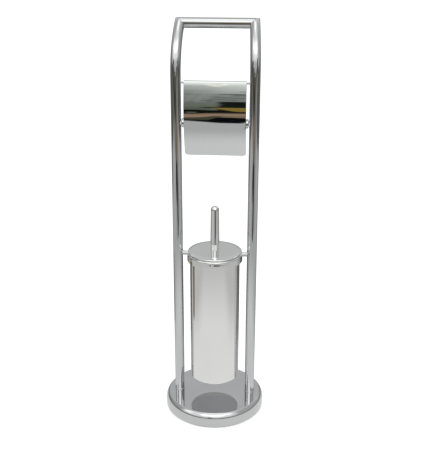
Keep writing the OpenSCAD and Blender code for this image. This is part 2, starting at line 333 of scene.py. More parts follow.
for node_name, material in {
    "base_pad": FOAM, "base_weight": CEMENT, "tube_screws": ZINC, "screw_washers": ZINC,
    "left_tube_plug": ZINC, "right_tube_plug": ZINC, "left_hinge_pin": SMALL, "right_hinge_pin": SMALL,
    "left_roller_bush": WHITE, "right_roller_bush": WHITE, "drip_cup": WHITE,
    "left_cover_bush": WHITE, "right_cover_bush": WHITE, "roller_spring": WIRE, "lid_plug": WHITE,
    "handle_insert": ZINC, "brush_stem": ZINC, "lid_nut": ZINC, "brush_core": WHITE,
    "bristles": FILAMENT, "base_cover": CAST, "left_foot_collar": SMALL, "right_foot_collar": SMALL,
    "left_tube": TUBE, "right_tube": TUBE, "top_bar": TUBE, "left_holder_pin": SMALL,
    "right_holder_pin": SMALL, "holder_ring": LID, "container": CUP, "roll_cover": SHEET,
    "roller_outer": SMALL, "roller_inner": SMALL, "lid": LID, "handle": LID,
}.items():
    obj = NODES[node_name]
    obj.data.materials.clear()
    obj.data.materials.append(material)

# ---------------------------------------------------------------- base

BASE_R, BASE_H, EDGE, CREST, LIP, WALL = 100.0, 30.0, 17.0, 13.9, 2.5, 1.2
RUN = math.sqrt((EDGE - LIP) ** 2 - (CREST - LIP) ** 2)
TURN = math.degrees(math.atan2(CREST - LIP, RUN))
RIM_R, RIM_Z = BASE_R - EDGE, BASE_H - CREST
p = Profile(0, BASE_H - WALL).line(RIM_R + RUN, BASE_H - WALL)
p.arc(RIM_R + RUN, BASE_H - LIP, LIP - WALL, 90, TURN, 8).arc(RIM_R, RIM_Z, EDGE - WALL, TURN, 0, 20)
p.line(BASE_R - WALL, 2.4).arc(BASE_R - 0.6, 3.0, 0.6, 180, 360, 8).line(BASE_R, RIM_Z)
p.arc(RIM_R, RIM_Z, EDGE, 0, TURN, 48).arc(RIM_R + RUN, BASE_H - LIP, LIP, TURN, 90, 14).line(0, BASE_H)
turned_piece("base_shell", p, CAST, "stand", ["base_cover"], segs=256)

TUBE_X, TUBE_R, TUBE_RI = 72.5, 9.6, 8.4
for side, label in ((-1, "left"), (1, "right")):
    p = Profile(TUBE_R + 0.04, BASE_H).line(TUBE_R + 1.1, BASE_H)
    p.arc(TUBE_R + 0.1, BASE_H + 0.5, 1.12, -25, 86, 16).line(TUBE_R + 0.04, BASE_H + 1.62)
    p.line(TUBE_R + 0.04, BASE_H)
    turned_piece(label + "_foot_bead", p, SMALL, "stand", [label + "_foot_collar"],
                 segs=96, origin=(side * TUBE_X, 0, 0))

# ---------------------------------------------------------------- frame tubes

BOW_START, BOW_R, BOW_ANGLE, TOE = 680.0, 113.0, math.radians(53), math.radians(4.5)
OUT = Vector((math.sin(TOE), math.cos(TOE), 0))
BOW_RUN = BOW_R * (1 - math.cos(BOW_ANGLE))
CORNER = Vector((-TUBE_X, 0, BOW_START)) + OUT * BOW_RUN + Vector((0, 0, BOW_R * math.sin(BOW_ANGLE)))
TIP = OUT * math.sin(BOW_ANGLE) + Vector((0, 0, math.cos(BOW_ANGLE)))
MITRE = (TIP + Vector((1, 0, 0))).normalized()
SIDEWAYS = Vector((0, 0, 1)).cross(OUT)


def bow(s):
    """Axis point and tangent of the left upright, s millimetres past the start of its bow."""
    start = Vector((-TUBE_X, 0, BOW_START))
    a = max(0.0, min(BOW_ANGLE, s / BOW_R))
    point = start + OUT * (BOW_R * (1 - math.cos(a))) + Vector((0, 0, BOW_R * math.sin(a)))
    tangent = OUT * math.sin(a) + Vector((0, 0, math.cos(a)))
    if s < 0:
        point = start + Vector((0, 0, s))
    if s > BOW_R * BOW_ANGLE:
        point = point + tangent * (s - BOW_R * BOW_ANGLE)
    return point, tangent


def on_bow(s, angle, r):
    point, tangent = bow(s)
    back = SIDEWAYS.cross(tangent)
    normal = SIDEWAYS * math.cos(angle) + back * math.sin(angle)
    return point + normal * r, normal


def bow_end(angle, r):
    lo, hi = 0.0, BOW_R * BOW_ANGLE + 4 * r
    for _ in range(50):
        mid = (lo + hi) / 2
        if (on_bow(mid, angle, r)[0] - CORNER).dot(MITRE) > 0:
            hi = mid
        else:
            lo = mid
    return lo


def upright(mirror, name, stands_for, around=96, rows=72):
    flip = -1 if mirror else 1
    verts, faces, normals = [], [], []
    grids = []
    for r in (TUBE_R, TUBE_RI):
        grid = []
        for k in range(around):
            angle = TAU * k / around
            end = bow_end(angle, r)
            column = []
            for s in [BASE_H - BOW_START, -240, -60] + [end * i / rows for i in range(rows + 1)]:
                q, n = on_bow(s, angle, r)
                column.append((len(verts), Vector((q.x * flip, q.y, q.z)), Vector((n.x * flip, n.y, n.z))))
                verts.append(column[-1][1])
            grid.append(column)
        grids.append(grid)
    down, cut = Vector((0, 0, -1)), Vector((MITRE.x * flip, MITRE.y, MITRE.z))

    def quad(a, b, c, d, na, nb, nc, nd):
        loop, ns = [a, b, c, d], [na, nb, nc, nd]
        if not mirror:
            loop.reverse()
            ns.reverse()
        faces.append(loop)
        normals.extend(ns)

    for k in range(around):
        m = (k + 1) % around
        for which, grid in enumerate(grids):
            for i in range(len(grid[0]) - 1):
                a, b, c, d = grid[k][i], grid[m][i], grid[m][i + 1], grid[k][i + 1]
                if which == 0:
                    quad(a[0], b[0], c[0], d[0], a[2], b[2], c[2], d[2])
                else:
                    quad(a[0], d[0], c[0], b[0], -a[2], -d[2], -c[2], -b[2])
        for i, n in ((0, down), (-1, cut)):
            a, b, c, d = grids[0][k][i], grids[1][k][i], grids[1][m][i], grids[0][m][i]
            if i == 0:
                quad(a[0], b[0], c[0], d[0], n, n, n, n)
            else:
                quad(a[0], d[0], c[0], b[0], n, n, n, n)
    return place(name, verts, faces, normals, TUBE, "stand", stands_for)


upright(False, "left_upright", ["left_tube"])
upright(True, "right_upright", ["right_tube"])


def carrying_bar(around=96, rows=12):
    verts, faces, normals, grids = [], [], [], []
    for r in (TUBE_R, TUBE_RI):
        grid = []
        for k in range(around):
            a = TAU * k / around
            n = Vector((0, math.cos(a), math.sin(a)))
            off = n * r
            # where this line of the bar meets the left mitre plane
            x0 = CORNER.x - off.dot(MITRE) / MITRE.x
            column = []
            for i in range(rows + 1):
                x = x0 * (1 - 2 * i / rows)
                column.append((len(verts), n))
                verts.append(Vector((x, CORNER.y + off.y, CORNER.z + off.z)))
            grid.append(column)
        grids.append(grid)
    left = -MITRE
    right = Vector((MITRE.x, -MITRE.y, -MITRE.z))
    for k in range(around):
        m = (k + 1) % around
        for which, grid in enumerate(grids):
            for i in range(rows):
                a, b, c, d = grid[k][i], grid[m][i], grid[m][i + 1], grid[k][i + 1]
                loop = [a, b, c, d]
                if which:
                    faces.append([a[0], d[0], c[0], b[0]])
                    normals.extend([-a[1], -d[1], -c[1], -b[1]])
                else:
                    faces.append([q[0] for q in loop])
                    normals.extend([q[1] for q in loop])
        for i, n in ((0, left), (-1, right)):
            a, b, c, d = grids[0][k][i], grids[1][k][i], grids[1][m][i], grids[0][m][i]
            loop = [a[0], b[0], c[0], d[0]] if i == 0 else [a[0], d[0], c[0], b[0]]
            faces.append(loop)
            normals.extend([n] * 4)
    return place("carrying_bar", verts, faces, normals, TUBE, "stand", ["top_bar"])


carrying_bar()

# ---------------------------------------------------------------- roll cover

HINGE_Z, CURL_R, COVER_R, LEAN = 668.8, 3.4, 180.0, math.radians(17.5)
COVER_BOTTOM, COVER_W, COVER_T, COVER_C = 531.0, 57.5, 0.5, 6.5
CY = (COVER_R - CURL_R) * math.cos(LEAN)
CZ = HINGE_Z - (COVER_R - CURL_R) * math.sin(LEAN)


def cover_strip():
    """Points of the sheet's middle line in (y, z) from the lower edge to the inside of the
    curl, each with the outward normal."""
    a_low = math.pi - math.asin((COVER_BOTTOM - CZ) / COVER_R)      # lower edge, seen from the centre
    a_top = math.pi - LEAN
    line = []
    length = (a_low - a_top) * COVER_R
    near = [0, 0.06, 0.15, 0.3, 0.5, 0.8, 1.3, 2, 2.8, 3.8, 5, 6.5, 8]
    rest = [8 + (length - 8) * i / 70 for i in range(1, 71)]
    for s in near + rest:
        a = a_low - s / COVER_R
        line.append((s, CY + COVER_R * math.cos(a), CZ + COVER_R * math.sin(a), math.cos(a), math.sin(a)))
    turns = 56
    sweep = math.radians(318)
    for i in range(1, turns + 1):
        a = a_top - sweep * i / turns
        line.append((length + CURL_R * sweep * i / turns, CURL_R * math.cos(a),
                     HINGE_Z + CURL_R * math.sin(a), math.cos(a), math.sin(a)))
    return line


def roll_cover():
    line = cover_strip()
    last = line[-1][0]
    verts, faces, normals = [], [], []
    rings = []
    steps = 10
    for s, y, z, ny, nz in line:
        d = min(s, last - s)
        h = COVER_T if d >= COVER_T else math.sqrt(max(0.0, COVER_T ** 2 - (COVER_T - d) ** 2))
        h = max(h, 0.02)
        w = COVER_W
        if s < COVER_C:
            w = COVER_W - COVER_C + math.sqrt(max(0.0, COVER_C ** 2 - (COVER_C - s) ** 2))
        flat = [-w + COVER_T, -w + COVER_T + 0.4, -w / 3, 0, w / 3, w - COVER_T - 0.4, w - COVER_T]
        ring = []
        for x in flat:
            ring.append((x, h, (0, 1)))
        for i in range(1, 8):
            a = math.pi / 2 - math.pi * i / 8
            ring.append((w - COVER_T + COVER_T * math.cos(a), h * math.sin(a), (math.cos(a), math.sin(a))))
        for x in reversed(flat):
            ring.append((x, -h, (0, -1)))
        for i in range(1, 8):
            a = -math.pi / 2 - math.pi * i / 8
            ring.append((-w + COVER_T + COVER_T * math.cos(a), h * math.sin(a), (math.cos(a), math.sin(a))))
        row = []
        for x, off, (nx, nn) in ring:
            row.append((len(verts), Vector((nx, ny * nn, nz * nn))))
            verts.append(Vector((x, y + ny * off, z + nz * off)))
        rings.append(row)
    n = len(rings[0])
    for lo, hi in zip(rings, rings[1:]):
        for k in range(n):
            m = (k + 1) % n
            quad = [lo[k], lo[m], hi[m], hi[k]]
            quad.reverse()
            faces.append([q[0] for q in quad])
            normals.extend(q[1] for q in quad)
    for row, side in ((rings[0], 1), (rings[-1], -1)):
        loop = [q[0] for q in row]
        if side < 0:
            loop.reverse()
        faces.append(loop)
        normals.extend([Vector((0, 0, 0))] * len(loop))
    obj = place("hinged_cover", verts, faces, None, SHEET, "cover", ["roll_cover"])
    mesh = obj.data
    bm = bmesh.new()
    bm.from_mesh(mesh)
    bmesh.ops.recalc_face_normals(bm, faces=bm.faces)
    bm.to_mesh(mesh)
    bm.free()
    return obj


roll_cover()

# ---------------------------------------------------------------- paper roller

ROLLER_Z, ROLLER_R, ROLLER_END, NUB_R, NUB_L = 594.6, 8.5, 61.5, 4.0, 6.0

# both halves are drawn along +X of the row: here z of the outline is x of the row
p = Profile(0, -ROLLER_END - NUB_L)
p.line(NUB_R - 1.2, -ROLLER_END - NUB_L).arc(NUB_R - 1.2, -ROLLER_END - NUB_L + 1.2, 1.2, -90, 0, 8)
p.line(NUB_R, -ROLLER_END - 0.4).arc(NUB_R + 0.4, -ROLLER_END - 0.4, 0.4, 180, 90, 5)
p.line(ROLLER_R - 0.9, -ROLLER_END).arc(ROLLER_R - 0.9, -ROLLER_END + 0.9, 0.9, -90, 0, 8)
p.line(ROLLER_R, 7.7).arc(ROLLER_R - 0.3, 7.7, 0.3, 0, 90, 4).line(ROLLER_R - 1, 8)
p.line(ROLLER_R - 1, -ROLLER_END + 1.5).line(0, -ROLLER_END + 1.5)
turned_piece("roller_shell_half", p, SMALL, "roller", ["roller_outer"], segs=128,
             origin=(0, 0, ROLLER_Z), axis=(1, 0, 0))

p = Profile(0, ROLLER_END - 1.5).line(ROLLER_R - 2.2, ROLLER_END - 1.5).line(ROLLER_R - 2.2, -23.5)
p.line(0, -23.5).line(0, -25).line(ROLLER_R - 1.6, -25).arc(ROLLER_R - 1.6, -24.5, 0.5, -90, 0, 5)
p.line(ROLLER_R - 1.1, 24).line(ROLLER_R - 0.5, 24).arc(ROLLER_R - 0.5, 24.5, 0.5, -90, 0, 5)
p.line(ROLLER_R, ROLLER_END - 0.9).arc(ROLLER_R - 0.9, ROLLER_END - 0.9, 0.9, 0, 90, 8)
p.line(NUB_R + 0.4, ROLLER_END).arc(NUB_R + 0.4, ROLLER_END + 0.4, 0.4, 270, 180, 5)
p.line(NUB_R, ROLLER_END + NUB_L - 1.2).arc(NUB_R - 1.2, ROLLER_END + NUB_L - 1.2, 1.2, 0, 90, 8)
p.line(0, ROLLER_END + NUB_L)
turned_piece("roller_sprung_half", p, SMALL, "roller_plunger", ["roller_inner"], segs=128,
             origin=(0, 0, ROLLER_Z), axis=(1, 0, 0))


def roller_coil():
    """Compression spring of round wire inside the roller, with a flat turn at each end."""
    wire, coil, turns, steps, sides = 0.6, 5.4, 9.0, 40, 12
    start, end = -ROLLER_END + 2.2 + wire, -26.3
    count = int(turns * steps)
    verts, faces = [], []
    for i in range(count + 1):
        turn = i / steps
        share = min(max((turn - 0.8) / (turns - 1.6), 0), 1)
        a = 2 * math.pi * turn
        x = start + (end - start) * share + 0.12 * wire * (share - 0.5)
        for k in range(sides):
            b = 2 * math.pi * k / sides
            r = coil + wire * math.cos(b)
            verts.append((x + wire * math.sin(b), r * math.cos(a), ROLLER_Z + r * math.sin(a)))
    for i in range(count):
        for k in range(sides):
            n = (k + 1) % sides
            faces.append((i * sides + k, i * sides + n, (i + 1) * sides + n, (i + 1) * sides + k))
    faces += [tuple(reversed(range(sides))), tuple(range(count * sides, (count + 1) * sides))]
    obj = place("roller_coil", verts, faces, None, WIRE, "roller", ["roller_spring"])
    bm = bmesh.new()
    bm.from_mesh(obj.data)
    bmesh.ops.recalc_face_normals(bm, faces=bm.faces)
    bm.to_mesh(obj.data)
    bm.free()
    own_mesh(obj)


roller_coil()

# ---------------------------------------------------------------- holder ring and pins

RING_R, RING_Z, HALF_H, RING_RI = 54.1, 330.5, 7.7, 49.15
PIN_Z = RING_Z + HALF_H - 3.2
STEP_R, STEP, SOFT = 20.0, math.radians(5.0), 3.3
step_x = RING_R - STEP_R + 2 * STEP_R * math.cos(STEP)
step_z = RING_Z - 0.9 + 2 * STEP_R * math.sin(STEP)
p = Profile(RING_RI, RING_Z - HALF_H).line(RING_R - 0.5, RING_Z - HALF_H)
p.arc(RING_R - 0.5, RING_Z - HALF_H + 0.5, 0.5, -90, 0, 8)
p.arc(RING_R - STEP_R, RING_Z - 0.9, STEP_R, 0, 5.0, 8).arc(step_x, step_z, STEP_R, 185.0, 180.0, 8)
p.arc(step_x - STEP_R - SOFT, RING_Z + HALF_H - SOFT, SOFT, 0, 90, 16)
p.line(RING_RI, RING_Z + HALF_H).line(RING_RI, RING_Z - HALF_H)
turned_piece("carrier_ring", p, LID, "stand", ["holder_ring"], segs=256)

PIN_R, PIN_IN, INNER_FACE = 4.2, 51.0, TUBE_X - TUBE_R
for side, label in ((-1, "left"), (1, "right")):
    p = rounded([(0, PIN_IN, 0), (PIN_R, PIN_IN, 0), (PIN_R, INNER_FACE + 2.0, 0), (0, INNER_FACE + 2.0, 0)])
    turned_piece(label + "_ring_pin", p, SMALL, "stand", [label + "_holder_pin"], segs=96,
                 origin=(0, 0, PIN_Z), axis=(side, 0, 0))

# ---------------------------------------------------------------- bristles


def brush_head():
    """Filaments that stand out from the core in rows, each a slim tapered rod with a light bow."""
    low, high, radius, soft, root = 88.0, 168.0, 37.6, 13.0, 7.9
    rng = np.random.default_rng(4)
    verts, faces = [], []
    for row in range(23):
        z0 = low + 3 + (high - low - 6) * row / 22
        for place_on in range(46):
            a = 2 * math.pi * (place_on + 0.5 * (row % 2)) / 46 + rng.uniform(-0.03, 0.03)
            middle = (low + high) / 2
            z2 = middle + (z0 - middle) * 1.03 + rng.uniform(-1.2, 1.2)
            z2 = min(max(z2, low), high)
            over_end = max(0.0, abs(z2 - middle) - (high - low) / 2 + soft) / soft
            tip = radius - soft * (1 - math.sqrt(max(0.0, 1 - min(over_end, 1.0) ** 2))) - rng.uniform(0, 0.9)
            turn = a + rng.uniform(-0.05, 0.05)
            base = len(verts)
            for share, thick in ((0, 0.62), (0.35, 0.58), (0.7, 0.5), (1, 0.34)):
                r = root + (tip - root) * share
                t = a + (turn - a) * share * share
                z = z0 + (z2 - z0) * share ** 1.5
                across = (-math.sin(t), math.cos(t))
                for k in range(5):
                    b = 2 * math.pi * k / 5
                    verts.append((r * math.cos(t) + thick * math.cos(b) * across[0],
                                  r * math.sin(t) + thick * math.cos(b) * across[1],
                                  z + thick * math.sin(b)))
            for ring in range(3):
                for k in range(5):
                    n = (k + 1) % 5
                    i = base + ring * 5
                    faces.append((i + k, i + n, i + 5 + n, i + 5 + k))
            faces += [tuple(base + k for k in reversed(range(5))), tuple(base + 15 + k for k in range(5))]
    obj = place("brush_filaments", verts, faces, None, FILAMENT, "brush", ["bristles"])
    bm = bmesh.new()
    bm.from_mesh(obj.data)
    bmesh.ops.recalc_face_normals(bm, faces=bm.faces)
    bm.to_mesh(obj.data)
    bm.free()


brush_head()

# ---------------------------------------------------------------- container

CAN_R, CAN_Z, CAN_T, CAN_E = 48.8, 68.7, 0.7, 2.0
FLANGE_Z = RING_Z + HALF_H
p = Profile(0, CAN_Z).line(CAN_R - CAN_E, CAN_Z)
p.arc(CAN_R - CAN_E, CAN_Z + CAN_E, CAN_E, -90, 0, 24).line(CAN_R, FLANGE_Z - 0.3)
p.line(CAN_R, FLANGE_Z).line(CAN_R + 1.3, FLANGE_Z)
p.arc(CAN_R + 1.1, FLANGE_Z + 0.5, 0.5, -90, 90, 8).line(CAN_R - CAN_T + 0.5, FLANGE_Z + 1)
p.arc(CAN_R - CAN_T + 0.4, FLANGE_Z + 0.6, 0.4, 90, 180, 6).line(CAN_R - CAN_T, CAN_Z + CAN_E)
p.arc(CAN_R - CAN_E, CAN_Z + CAN_E, CAN_E - CAN_T, 0, -90, 16).line(0, CAN_Z + CAN_T)
turned_piece("brush_container", p, CUP, "stand", ["container"], segs=256)

# ---------------------------------------------------------------- lid and handle

LID_R, LID_Z, SHOULDER, FLAT = 52.85, 343.5, 28.0, 42.0
LID_UNDER = FLANGE_Z + 1.3
fall = math.degrees(math.asin((LID_R - 1 - FLAT) / SHOULDER))
p = Profile(4.1, LID_UNDER).line(LID_R - 1, LID_UNDER).arc(LID_R - 1, LID_UNDER + 1, 1, -90, 62, 14)
p.arc(FLAT, LID_Z - SHOULDER, SHOULDER, 90 - fall, 90, 18).line(4.1, LID_Z).line(4.1, LID_UNDER)
turned_piece("lid_disc", p, LID, "brush", ["lid"], segs=256)

R1, R2, HANDLE_H = 9.0, 8.0, 90.2
top = LID_Z + HANDLE_H - R2
p = Profile(R1 - 1, LID_Z).line(R1 - 0.25, LID_Z).line(R1, LID_Z + 0.25).line(R2, top, 8)
p.arc(0, top, R2, 0, 90, 32).arc(0, top, R2 - 1, 90, 0, 16).line(R1 - 1, LID_Z)
turned_piece("handle_grip", p, LID, "brush", ["handle"], segs=160)

# ---------------------------------------------------------------- stage

BG = bpy.context.scene
BG.view_settings.view_transform = "Standard"
BG.view_settings.look = "None"

CAM_F, CAM_C = 787.12, Vector((0.11234, -1.42740, 0.91539))
YAW, PITCH, ROLL = 0.07841, 0.35836, -0.00231
fw = Vector((-math.sin(YAW) * math.cos(PITCH), math.cos(YAW) * math.cos(PITCH), -math.sin(PITCH)))
rt = Vector((math.cos(YAW), math.sin(YAW), 0))
dn = fw.cross(rt)
right = rt * math.cos(ROLL) + dn * math.sin(ROLL)
lower = dn * math.cos(ROLL) - rt * math.sin(ROLL)
cam_data = bpy.data.cameras.new("camera")
cam_data.sensor_width = 36
cam_data.lens = CAM_F / 465 * 36
cam_data.clip_start, cam_data.clip_end = 0.05, 60
camera = bpy.data.objects.new("camera", cam_data)
camera.matrix_world = Matrix((
    (right.x, -lower.x, -fw.x, CAM_C.x),
    (right.y, -lower.y, -fw.y, CAM_C.y),
    (right.z, -lower.z, -fw.z, CAM_C.z),
    (0, 0, 0, 1)))
BG.collection.objects.link(camera)
BG.camera = camera


def sheet_of(name, corners, material, seen=False):
    mesh = bpy.data.meshes.new(name)
    mesh.from_pydata(corners, [], [list(range(len(corners)))])
    mesh.materials.append(material)
    obj = bpy.data.objects.new(name, mesh)
    BG.collection.objects.link(obj)
    if not seen:
        obj.visible_camera = False
        obj.visible_shadow = False
        obj.visible_diffuse = False
    return obj


# ---- what the chrome sees: a painted floor and a painted surround, both hidden from the camera

def ease(a, b, x):
    """0 below a, 1 above b, smooth between."""
    s = np.clip((np.asarray(x, float) - a) / (b - a), 0, 1)
    return s * s * (3 - 2 * s)


def within(lo, hi, soft, x):
    return ease(lo - soft / 2, lo + soft / 2, x) * (1 - ease(hi - soft / 2, hi + soft / 2, x))


def over(base, colour, share):
    """One tone laid over the others, as far as its share goes."""
    tone = np.asarray(colour, float) * np.ones(3)
    return base * (1 - share[..., None]) + tone * share[..., None]


def floor_tone(az, r):
    """Radiance of the studio floor as the chrome sees it; az 0 is the front, to the right +."""
    x, y = r * np.sin(np.radians(az)), -r * np.cos(np.radians(az))
    side = np.abs(az)
    # pale paper, which falls off sooner to the sides
    reach = r * (1 + 0.5 * ease(40, 90, side))
    paper = 0.77 - 0.25 * ease(0.38, 0.95, reach) - 0.03 * ease(1.5, 2.4, r)
    tone = paper[..., None] * np.array((1.0, 1.0, 0.993))
    # the dim room behind it and past its sides
    tone = over(tone, 0.32, ease(100, 126, side) * (1 - 0.4 * ease(0.5, 0.2, r)))
    tone = over(tone, 0.09, ease(130, 150, side) * (1 - 0.9 * ease(0.32, 0.2, r)))
    tone = over(tone, 0.40, ease(120, 140, side) * ease(0.34, 0.22, r))
    tone = over(tone, (0.21, 0.21, 0.20), within(-126, -88, 14, az) * ease(1.3, 1.8, r))
    tone = over(tone, (0.27, 0.27, 0.26), within(92, 128, 12, az) * ease(1.75, 2.3, r))
    aside = np.maximum(1 - ease(-2.35, -2.05, x), ease(2.05, 2.35, x)) * (1 - ease(110, 125, side))
    tone = over(tone, (0.12, 0.125, 0.115), aside)
    tone = over(tone, 0.24, ease(98, 125, side) * ease(4, 8, r) * (1 - ease(136, 154, side)))
    # half shade to the right of the camera
    tone = over(tone, (0.33, 0.33, 0.315), within(17, 50, 14, az) * ease(0.95, 1.3, r))
    tone = over(tone, (0.45, 0.45, 0.44), within(44, 66, 10, az) * ease(0.9, 1.2, r) * (1 - ease(1.9, 2.6, r)))
    # a wooden ledge and the dark under it, across the front
    tone = over(tone, (0.23, 0.215, 0.19), within(-60, 32, 14, az) * (1 - ease(-1.98, -1.8, y)))
    tone = over(tone, (0.185, 0.155, 0.125), within(-16, 18, 10, az) * (1 - ease(-1.98, -1.8, y)))
    tone = over(tone, (0.05, 0.05, 0.042), within(-62, 2, 12, az) * (1 - ease(-2.75, -2.45, y)))
    tone = over(tone, (0.13, 0.125, 0.10), within(-62, 40, 12, az) * (1 - ease(-3.7, -3.2, y)))
    tone = over(tone, (0.42, 0.42, 0.40), within(1.5, 16, 5, az) * (1 - ease(-6.5, -4.2, y)))
    # a brown post at the left, behind the stand
    tone = over(tone, (0.17, 0.14, 0.09), within(-124, -101, 6, az) * within(0.44, 0.92, 0.03, r))
    # the part of it that the hinged cover magnifies: a pink-brown rail, dark olive under its
    # left end, black above it, and an ochre lens
    strip = within(-10.2, 0.5, 0.5, az)
    along = (az + 7.1) / 5.3
    rail = 2.06 + 0.36 * ease(-0.1, 0.75, along)
    tone = over(tone, (0.27, 0.185, 0.12), strip * ease(1.80, 1.92, r) * (1 - ease(2.78, 2.98, r)))
    tone = over(tone, (0.36, 0.25, 0.18), strip * within(rail - 0.1, rail + 0.35, 0.3, r))
    tone = over(tone, (0.075, 0.07, 0.045), strip * (1 - ease(0.5, 0.75, along)) * within(1.58, rail - 0.12, 0.1, r))
    top = 2.72 + 0.46 * ease(0.0, 0.6, along)
    tone = over(tone, (0.006, 0.007, 0.004), strip * ease(top - 0.1, top + 0.08, r))
    patch = within(-0.08, 0.12, 0.06, along - 0.05 * (r - 3.3)) * within(2.98, 3.32, 0.12, r)
    tone = over(tone, (0.15, 0.165, 0.13), strip * patch)
    edge = 4.55 - 0.35 * ease(0.1, 0.5, along)
    tone = over(tone, (0.13, 0.145, 0.115), strip * ease(edge - 0.25, edge + 0.25, r) * (1 - ease(0.5, 0.62, along)))
    tip = np.clip(1 - (along - 0.98) / 0.6 * -1, 0, None)
    near = 3.58 + 3.3 * np.clip((0.98 - along) / 0.56, 0, 1.4) ** 2
    tone = over(tone, (0.29, 0.20, 0.045), strip * ease(0.42, 0.5, along) * ease(near - 0.15, near + 0.2, r))
    tone = over(tone, (0.012, 0.014, 0.006), strip * ease(0.22, 0.34, along) * within(6.6 + 0.6 * ease(0.4, 0.7, along), 8.4, 0.5, r))
    tone = over(tone, (0.17, 0.19, 0.15), strip * (1 - ease(0.72, 0.84, along)) * ease(8.2, 9.0, r))
    tone = over(tone, (0.010, 0.014, 0.011), within(-4.2, 0.6, 0.5, az - 0.05 * np.minimum(r - 9, 4)) * ease(7.4, 8.0, r))
    # a dark stand at the camera
    near = -0.95 - 0.75 * np.maximum(0, 0.0 - x)
    inner = -1.33 - 1.15 * np.maximum(0, -0.09 - x) - 0.12 * ease(-0.02, 0.01, x)
    near = near + (inner - near) * strip
    back = -1.86 + strip * (-0.12 + 0.36 * ease(0.62, 0.25, along) + 0.05 * ease(0.85, 1.15, along))
    left = -0.28 - 0.3 * np.maximum(0, -y - 1.2) * (1 - strip) - 0.1 * strip
    shade = ease(left - 0.13, left + 0.13, x) * (1 - ease(0.47, 0.58, x)) * ease(back - 0.05, back + 0.03, y) * (1 - ease(near - 0.04, near + 0.03, y))
    tone = over(tone, (0.17, 0.165, 0.155), within(-0.62, 0.66, 0.3, x) * within(-1.9, -1.28, 0.35, y) * (1 - strip))
    return over(tone, (0.022, 0.023, 0.024) - strip[..., None] * 0.018, shade)


